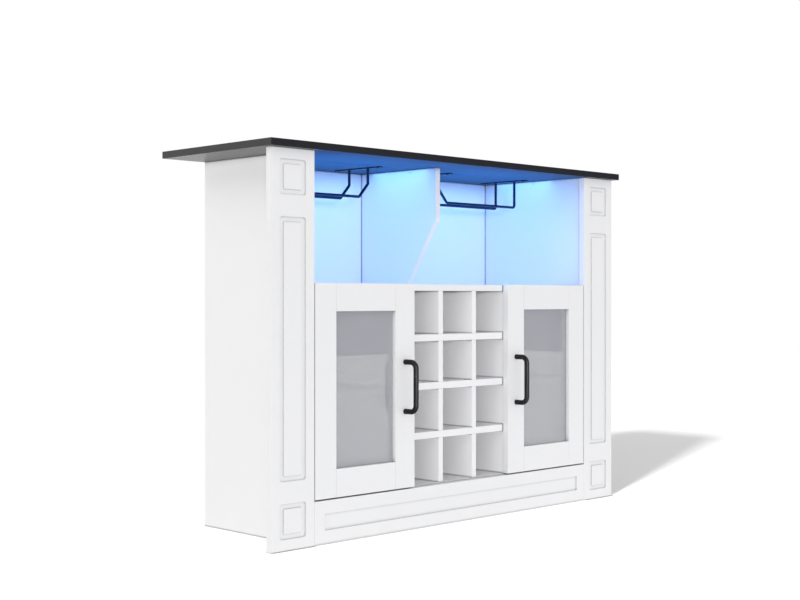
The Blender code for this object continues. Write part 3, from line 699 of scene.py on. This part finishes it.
def screw_head(radius, tall):
    """The profile of a domed screw head with a round socket, from its axis to its rim."""
    socket = radius * 0.42
    return [
        (0, tall * 0.35),
        (socket, tall * 0.35),
        (socket, tall * 0.98),
        (socket * 1.2, tall),
        (radius * 0.75, tall * 0.85),
        (radius * 0.95, tall * 0.5),
        (radius, tall * 0.15),
        (radius, 0),
        (0, 0),
    ]


STEM_SCREW = screw_head(0.0036, 0.0016)
WING_SCREW = screw_head(0.0036, 0.0014)
FOOT_SCREW = screw_head(0.0026, 0.0008)


def add_stem_screws(side):
    """Two screws through each flat bar of a stemware rack, up into the top."""
    low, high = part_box(f"{side}_stem_rack")
    half = STEM_BAR_WIDE / 2
    name = f"{side}_stem_rack_screws"
    shape = bmesh.new()
    for x in (low.x + half, high.x - half):
        for y in (low.y + STEM_SCREW_INSET, high.y - STEM_SCREW_INSET):
            add_turned(shape, STEM_SCREW, (x, y, high.z - STEM_BAR_THICK), (0, 0, -1))
    placed(name, shape, "black_metal", "cabinet", smooth=True, finish=BLACK_WIRE)


def add_hinge_screws(side, way, label):
    """Two screws in the wings of a hinge foot and two on the foot itself."""
    low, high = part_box(f"{side}_{label}_hinge_arm")
    wall = high.x if way > 0 else low.x
    middle = (low.z + high.z) / 2
    shape = bmesh.new()
    for offset in (-WING_SCREW_OFFSET, WING_SCREW_OFFSET):
        place = (wall - way * HINGE_WING, FRONT + WING_MIDDLE, middle + offset)
        add_turned(shape, WING_SCREW, place, (-way, 0, 0))
    for y in (FOOT_SPAN[0] + FOOT_SCREW_INSET, FOOT_SPAN[1] - FOOT_SCREW_INSET):
        add_turned(shape, FOOT_SCREW, (wall - way * HINGE_FOOT, FRONT + y, middle), (-way, 0, 0))
    placed(f"{side}_{label}_hinge_screws", shape, "hinge_steel", "cabinet", smooth=True)


for side, way in SIDES.items():
    add_stem_screws(side)
    for label in ("lower", "upper"):
        add_hinge_screws(side, way, label)
        ease_edges(f"{side}_{label}_hinge_arm", HINGE_ARM_EASE)
        make_hinge_cup(side, way, label)
        round_fitting(f"{side}_handle_screw_{label}", HANDLE_SCREW_EASE)
    for end in ("outer", "inner"):
        for place in ("front", "back"):
            round_fitting(f"{side}_shelf_pin_{end}_{place}", SHELF_PIN_EASE)

LEAD_NOTCH = (0.189, 0.199)
LEAD_NOTCH_TALL = 0.009
COVER_GAP = 0.0003
COVER_EASE = 0.0003


def add_lead_covers():
    """Small covers in the notches where the light strips' leads pass the upright boards."""
    shape = bmesh.new()
    front = FRONT + LEAD_NOTCH[0] + COVER_GAP
    back = FRONT + LEAD_NOTCH[1] - COVER_GAP
    bottom = UNDERSIDE - LEAD_NOTCH_TALL + COVER_GAP
    top = UNDERSIDE - COVER_GAP
    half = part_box("upper_divider")[1].x - COVER_GAP
    ends = [(-half, half)]
    for way in SIDES.values():
        ends.append(sorted((way * (INNER_HALF + COVER_GAP), way * (INNER_HALF + half))))
    for left, right in ends:
        add_box(shape, (left, front, bottom), (right, back, top), COVER_EASE)
    return placed("lead_covers", shape, "white_board", "cabinet")


lead_covers = add_lead_covers()

# Camera
camera = bpy.data.objects.new("camera", bpy.data.cameras.new("camera"))
camera.location = (-2.6675, -2.664675, 0.6041)
camera.rotation_euler = (math.radians(90), 0, math.radians(-44.459))
camera.data.lens = 60.437
camera.data.sensor_width = 36
camera.data.shift_y = -0.003125
camera.data.clip_end = 100
bpy.context.scene.collection.objects.link(camera)
bpy.context.scene.camera = camera


# Lamps
def lamp(name, kind, energy, colour, place, towards):
    """A lamp at a place, shining along a direction."""
    data = bpy.data.lights.new(name, kind)
    data.energy = energy
    data.color = colour
    made = bpy.data.objects.new(name, data)
    made.location = place
    made.rotation_euler = Vector(towards).to_track_quat("-Z", "Y").to_euler()
    bpy.context.scene.collection.objects.link(made)
    return made


def sun(name, energy, colour, place, towards, spread):
    """A far lamp whose light spreads over an angle in degrees."""
    made = lamp(name, "SUN", energy, colour, place, towards)
    made.data.angle = math.radians(spread)
    return made


def panel_lamp(name, energy, colour, place, towards, size):
    """A rectangular lamp that neither the camera nor a reflection sees."""
    made = lamp(name, "AREA", energy, colour, place, towards)
    made.data.shape = "RECTANGLE"
    made.data.size, made.data.size_y = size
    made.visible_camera = False
    made.visible_glossy = False
    return made


def lights_only(source, *lit):
    """Keeps a lamp's light to the given pieces."""
    group = bpy.data.collections.new(f"lit_by_{source.name}")
    for piece in lit:
        group.objects.link(piece)
    source.light_linking.receiver_collection = group


def passes_through(source, *clear):
    """Lets a lamp's light pass the given pieces without a shadow."""
    group = bpy.data.collections.new(f"clear_to_{source.name}")
    for piece in clear:
        group.objects.link(piece)
    for link in group.collection_objects:
        link.light_linking.link_state = "EXCLUDE"
    source.light_linking.blocker_collection = group


def pieces(*names):
    """The pieces with these names."""
    return [bpy.data.objects[name] for name in names]


PANES = pieces(*[f"{side}_door_glass_eased" for side in SIDES])
HANDLES = pieces(*[f"{side}_door_handle_bar" for side in SIDES])
WIRES = pieces(*[f"{side}_stem_rack_welded" for side in SIDES])
BAY_WALLS = pieces("upper_back_panel", "upper_divider_eased", "right_side_panel_eased")
RACK = pieces(*RACK_NAMES)
SIDE_PANEL = pieces("left_side_panel_eased")
TOP = pieces("top_slab_eased")

PLAIN = (1, 1, 1)
RACK_LIGHT = (0.99, 0.985, 1.0)
BLUE_LIGHT = (0.078, 0.262, 0.72)
SPILL_LIGHT = (0.005, 0.24, 1.0)
ALONG_X, ALONG_Y, UP, DOWN = (1, 0, 0), (0, 1, 0), (0, 0, 1), (0, 0, -1)

# The side panel: a wide glow under the top's overhang, and a thin one right below it
TOP_GLOW_OUT, TOP_GLOW_DROP, TOP_GLOW_TALL = 0.02, 0.004, 0.004
side_glow = lamp(
    "side_glow", "AREA", energy=0.11, colour=PLAIN, place=(-1.05, 0.04, 0.93), towards=ALONG_X
)
side_glow.data.size = 0.4
lights_only(side_glow, *SIDE_PANEL)
panel_low, panel_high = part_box("left_side_panel")
panel_middle = (panel_low.y + panel_high.y) / 2
top_glow = panel_lamp(
    "side_top_glow",
    energy=0.012,
    colour=PLAIN,
    place=(panel_low.x - TOP_GLOW_OUT, panel_middle, UNDERSIDE - TOP_GLOW_DROP),
    towards=(1, 0, -0.25),
    size=(panel_high.y - panel_low.y, TOP_GLOW_TALL),
)
lights_only(top_glow, *SIDE_PANEL)

# The studio: a key lamp for the object, one for its shadow on the floor, and soft fills
SHADOW_WAY = (0.82, 0.337, -0.462)
KEY_PLACE, FILL_PLACE, SHEEN_PLACE = (-4, -2, 3), (-3, -4, 2), (-1, -4, 2)
SUNS = {
    name: sun(name, energy, colour, place, towards, spread)
    for name, energy, colour, place, towards, spread in (
        ("key_lamp", 0.08 * math.pi, PLAIN, KEY_PLACE, SHADOW_WAY, 30),
        ("floor_key", 1.0 * math.pi, PLAIN, KEY_PLACE, SHADOW_WAY, 4.5),
        ("corner_fill", 0.35 * math.pi, PLAIN, FILL_PLACE, (0.64, 0.76, -0.06), 6),
        ("bay_fill", 0.17 * math.pi, PLAIN, FILL_PLACE, (0.55, 0.83, -0.06), 6),
        ("rack_fill", 0.36 * math.pi, RACK_LIGHT, FILL_PLACE, (0.62, 0.78, -0.06), 6),
        ("rack_side", 0.085 * math.pi, RACK_LIGHT, FILL_PLACE, (0.88, 0.40, -0.30), 40),
        ("handle_sheen", 7.0, PLAIN, SHEEN_PLACE, (0.36, 0.93, -0.15), 25),
    )
}
for name in ("corner_fill", "bay_fill", "rack_fill"):
    passes_through(SUNS[name], *PANES, *HANDLES)
lights_only(SUNS["handle_sheen"], *HANDLES)
lights_only(SUNS["bay_fill"], *BAY_WALLS)
lights_only(SUNS["rack_fill"], *RACK)
lights_only(SUNS["rack_side"], *RACK)

# The bays' blue light and its spill on the top, and the plain light in the cupboards
BAY_MIDDLE, BAY_HEIGHT = 0.2695, 0.80
GLOW_DEPTH, GLOW_DROP = 0.235, 0.0015
MIST_DEPTH = 0.012
SPILL_MIDDLE, SPILL_DEPTH, SPILL_DEEP = 0.269, 0.19, 0.38
WALL_SPILL_IN, WALL_SPILL_HEIGHT = 0.03, 0.925
CUPBOARD_GAP, CUPBOARD_DEPTH, CUPBOARD_HEIGHT = 0.004, 0.20, 0.375
CUPBOARD_LEFT = {"left": -INNER_HALF, "right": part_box("right_partition")[1].x}
CUPBOARD_GLOW = {"left": 0.23, "right": 0.50}
CUPBOARD_WALL = {"left": "left_partition", "right": "right_side_panel_eased"}
WALL_END = {"left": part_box("upper_divider")[0].x, "right": INNER_HALF}
for (side, way), wire in zip(SIDES.items(), WIRES):
    panel_lamp(
        f"{side}_bay_glow",
        energy=1.70,
        colour=BLUE_LIGHT,
        place=(way * BAY_MIDDLE, FRONT + GLOW_DEPTH, UNDERSIDE - GLOW_DROP),
        towards=DOWN,
        size=(0.518, 0.22),
    )
    bay_mist = panel_lamp(
        f"{side}_bay_mist",
        energy=0.65,
        colour=BLUE_LIGHT,
        place=(way * BAY_MIDDLE, FRONT + MIST_DEPTH, BAY_HEIGHT),
        towards=ALONG_Y,
        size=(0.46, 0.26),
    )
    lights_only(bay_mist, *BAY_WALLS, lead_covers)
    cupboard_fill = panel_lamp(
        f"{side}_cupboard_fill",
        energy=CUPBOARD_GLOW[side],
        colour=PLAIN,
        place=(CUPBOARD_LEFT[side] + CUPBOARD_GAP, FRONT + CUPBOARD_DEPTH, CUPBOARD_HEIGHT),
        towards=ALONG_X,
        size=(0.36, 0.48),
    )
    shelf, bead = f"{side}_cupboard_shelf_eased", f"{side}_door_glass_bead"
    lights_only(cupboard_fill, *pieces(CUPBOARD_WALL[side], shelf, bead))
    bay_spill = panel_lamp(
        f"{side}_bay_spill",
        energy=19,
        colour=SPILL_LIGHT,
        place=(way * SPILL_MIDDLE, FRONT + SPILL_DEPTH, BAY_HEIGHT),
        towards=UP,
        size=(0.515, SPILL_DEEP),
    )
    lights_only(bay_spill, *TOP, wire)
    wall_spill = panel_lamp(
        f"{side}_wall_spill",
        energy=0.25,
        colour=SPILL_LIGHT,
        place=(WALL_END[side] - WALL_SPILL_IN, FRONT + SPILL_DEPTH, WALL_SPILL_HEIGHT),
        towards=UP,
        size=(0.04, SPILL_DEEP),
    )
    lights_only(wall_spill, *TOP)


# Studio floor, dark sheets for the panes to mirror, and the white surroundings
def flat_sheet(name, corners, material):
    """A one-faced sheet for the studio."""
    shape = bmesh.new()
    shape.faces.new([shape.verts.new(corner) for corner in corners])
    mesh = bpy.data.meshes.new(name)
    shape.to_mesh(mesh)
    shape.free()
    mesh.materials.append(material)
    made = bpy.data.objects.new(name, mesh)
    bpy.context.scene.collection.objects.link(made)
    return made


def seen_directly(tree):
    """1 where a camera, mirror or see-through ray looks."""
    rays = tree.nodes.new("ShaderNodeLightPath").outputs
    seen = maths(tree, "MAXIMUM", rays["Is Camera Ray"], rays["Is Glossy Ray"])
    return maths(tree, "MAXIMUM", seen, rays["Is Transmission Ray"])


def before_pilasters(tree):
    """1 on the floor right in front of the pilasters."""
    across, depth, _ = coordinates(tree)
    beside = maths(tree, "GREATER_THAN", across, INNER_HALF)
    ahead = maths(tree, "LESS_THAN", depth, FRONT)
    return maths(tree, "MULTIPLY", beside, ahead)


def floor_finish():
    """A pale floor, brighter where it is looked at, with contact shadows at the object's foot."""
    material, shader = shader_of("white_studio_floor")
    tree = material.node_tree
    tree.nodes.remove(shader)
    pale = tree.nodes.new("ShaderNodeBsdfDiffuse")
    pale.inputs["Color"].default_value = (0.66, 0.66, 0.66, 1)
    bright = tree.nodes.new("ShaderNodeBsdfDiffuse")
    bright_colour = tree.nodes.new("ShaderNodeRGB")
    bright_colour.outputs[0].default_value = (0.99, 0.99, 1.0, 1)
    # Painted shadow: the floor's colour darkens where the object stands close, and more deeply
    # right in front of the pilasters
    edge = {"closed": 0.5, "clear": 0.95}
    contact = painted_corner_shade(tree, bright_colour.outputs[0], reach=0.012, darkest=0.62, **edge)
    deep_contact = painted_corner_shade(tree, contact, reach=0.016, darkest=0.0, **edge)
    tree.links.new(before_pilasters(tree), deep_contact.node.inputs["Factor"])
    tree.links.new(deep_contact, bright.inputs["Color"])
    either = tree.nodes.new("ShaderNodeMixShader")
    tree.links.new(seen_directly(tree), either.inputs[0])
    tree.links.new(pale.outputs[0], either.inputs[1])
    tree.links.new(bright.outputs[0], either.inputs[2])
    tree.links.new(either.outputs[0], tree.nodes["Material Output"].inputs["Surface"])
    return material


FLOOR_LEFT, FLOOR_RIGHT, FLOOR_FRONT, FLOOR_BACK = -9, 9.035, -8.01, 9
floor = flat_sheet(
    "studio_floor",
    [
        (FLOOR_LEFT, FLOOR_FRONT, 0),
        (FLOOR_RIGHT, FLOOR_FRONT, 0),
        (FLOOR_RIGHT, FLOOR_BACK, 0),
        (FLOOR_LEFT, FLOOR_BACK, 0),
    ],
    floor_finish(),
)
lights_only(SUNS["floor_key"], floor)
unfilled = [*BAY_WALLS, *RACK, lead_covers, *WIRES]
filled = [p for p in bpy.data.objects if p.type == "MESH" and p not in unfilled]
lights_only(SUNS["corner_fill"], *filled)

WALL_LEFT, WALL_BACK, WALL_TALL = 2, -1, 6
grey_material, grey_shader = shader_of("grey_studio_wall")
grey_shader.inputs["Base Color"].default_value = (0, 0, 0, 1)
grey_shader.inputs["Specular IOR Level"].default_value = 0
grey_shader.inputs["Emission Color"].default_value = (0.04, 0.06, 0.15, 1)
grey_shader.inputs["Emission Strength"].default_value = 1
for name, start, end in (
    ("front_wall", (WALL_LEFT, FLOOR_FRONT), (FLOOR_RIGHT, FLOOR_FRONT)),
    ("right_wall", (FLOOR_RIGHT, FLOOR_FRONT), (FLOOR_RIGHT, WALL_BACK)),
):
    corners = [(*start, 0), (*end, 0), (*end, WALL_TALL), (*start, WALL_TALL)]
    wall = flat_sheet(name, corners, grey_material)
    wall.visible_camera = False
    wall.visible_diffuse = False
    wall.visible_transmission = False
    wall.visible_shadow = False

world = bpy.data.worlds.new("white_studio")
bpy.context.scene.world = world
world.use_nodes = True
background = world.node_tree.nodes["Background"]
background.inputs["Color"].default_value = (1, 1, 1, 1)
strength = world.node_tree.nodes.new("ShaderNodeMapRange")
strength.inputs["To Min"].default_value = 0.60
strength.inputs["To Max"].default_value = 1.0
world.node_tree.links.new(seen_directly(world.node_tree), strength.inputs["Value"])
world.node_tree.links.new(strength.outputs["Result"], background.inputs["Strength"])

bpy.context.scene.view_settings.view_transform = "Standard"
